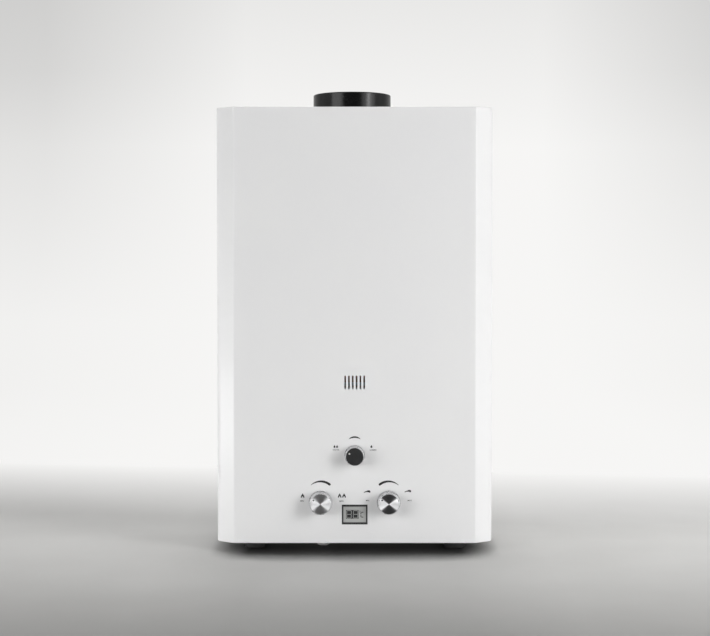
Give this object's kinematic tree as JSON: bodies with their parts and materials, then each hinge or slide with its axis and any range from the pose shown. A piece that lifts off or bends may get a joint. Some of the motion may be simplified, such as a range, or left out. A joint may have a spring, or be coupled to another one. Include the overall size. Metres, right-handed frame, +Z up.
{
  "type": "portable gas water heater",
  "caption": "Upright instantaneous gas water heater for outdoor use: steel case with creased front, round flue collar on top, control knobs and display in front, pipe ends below.",
  "frame": {"origin": "on the floor under the middle of the bounding box of the case with its knobs", "axes": "+Z up, front with knobs towards -Y, +X to the right as seen from the front"},
  "size_m": [0.3524, 0.167, 0.5843],
  "materials": {
    "cover_paint": "satin white powder coat",
    "zinc_steel": "zinc-coated sheet",
    "collar_enamel": "black gloss enamel",
    "rubber": "matte",
    "screw_steel": "bright zinc",
    "copper": "copper, slightly dulled",
    "burner_steel": "aluminised steel",
    "brass": "machined",
    "cast_aluminium": "die-cast",
    "black_plastic": "fine texture",
    "knob_black": "satin",
    "knob_grip": "silver coated",
    "knob_metal": "spun",
    "white_plastic": "satin",
    "display_panel": "grey liquid-crystal panel",
    "circuit_board": "solder mask",
    "cell_wrap": "printed sleeve",
    "electrode_ceramic": "glazed"
  },
  "bodies": {
    "case": {"back_panel": "zinc_steel", "batteries": "cell_wrap", "battery_box": "black_plastic", "bottom_plate": "zinc_steel", "burner_bars": "burner_steel", "burner_frame": "zinc_steel", "burner_nozzles": "brass", "case_screws": "screw_steel", "cold_inlet": "brass", "cold_pipe": "copper", "combustion_chamber": "copper", "controller_box": "black_plastic", "diaphragm": "rubber", "diaphragm_cover": "brass", "display_bezel": "black_plastic", "display_board": "circuit_board", "display_glass": "display_panel", "drain_pipe": "brass", "drain_valve": "brass", "exchanger_fins": "copper", "exchanger_shell": "copper", "flame_sensor": "electrode_ceramic", "flow_switch": "black_plastic", "flue_collar": "collar_enamel", "flue_flange": "collar_enamel", "foot_front_left": "rubber", "foot_front_right": "rubber", "foot_rear_left": "rubber", "foot_rear_right": "rubber", "foot_screws": "screw_steel", "front_cover": "cover_paint", "fume_hood": "zinc_steel", "gas_inlet": "brass", "gas_manifold": "cast_aluminium", "gas_riser": "cast_aluminium", "gas_solenoid": "cast_aluminium", "gas_valve": "cast_aluminium", "hinge_pin": "screw_steel", "hot_outlet": "brass", "hot_pipe": "copper", "igniter_electrode": "electrode_ceramic", "overheat_switch": "black_plastic", "season_valve": "cast_aluminium", "stack_brackets": "zinc_steel", "switch_bracket": "zinc_steel", "top_plate": "cover_paint", "water_coil": "copper", "water_valve": "brass"},
    "gas_knob_set": {"gas_knob": "knob_grip", "gas_knob_cap": "knob_metal", "gas_spindle": "screw_steel"},
    "water_knob_set": {"water_knob": "knob_grip", "water_knob_cap": "knob_metal", "water_spindle": "screw_steel"},
    "season_knob_set": {"season_knob": "knob_black", "season_spindle": "screw_steel"},
    "push_rod": {"push_rod": "screw_steel"},
    "switch_lever": {"switch_lever": "screw_steel"},
    "battery_door": {"battery_door": "black_plastic"},
    "drain_cap": {"drain_cap": "white_plastic"}
  },
  "joints": [
    {"name": "gas_knob_turn", "type": "hinge", "parent": "case", "child": "gas_knob_set", "pos_m": [-0.043, -0.0665, 0.0639], "axis": [0, 1, 0], "range_deg": [0, 120]},
    {"name": "water_knob_turn", "type": "hinge", "parent": "case", "child": "water_knob_set", "pos_m": [0.043, -0.0665, 0.0639], "axis": [0, 1, 0], "range_deg": [0, 120]},
    {"name": "season_knob_turn", "type": "hinge", "parent": "case", "child": "season_knob_set", "pos_m": [0, -0.0665, 0.1236], "axis": [0, 1, 0], "range_deg": [0, 120]},
    {"name": "push_rod_slide", "type": "slide", "parent": "case", "child": "push_rod", "axis": [-1, 0, 0], "range_m": [0, 0.003], "stiffness_N_per_m": 200},
    {"name": "switch_lever_turn", "type": "hinge", "parent": "case", "child": "switch_lever", "pos_m": [0.00325, -0.003, 0.07065], "axis": [0, 1, 0], "range_deg": [0, 16]},
    {"name": "battery_door_swing", "type": "hinge", "parent": "case", "child": "battery_door", "pos_m": [0.11, 0.0354, 0.0225], "axis": [1, 0, 0], "range_deg": [0, 100]},
    {"name": "drain_cap_turn", "type": "hinge", "parent": "case", "child": "drain_cap", "pos_m": [-0.04, -0.045, 0.007], "axis": [0, 0, -1], "range_deg": [0, 270]}
  ],
  "couplings": [
    {"joint": "switch_lever_turn", "follows": "push_rod_slide", "rad_per_m": 93}
  ]
}
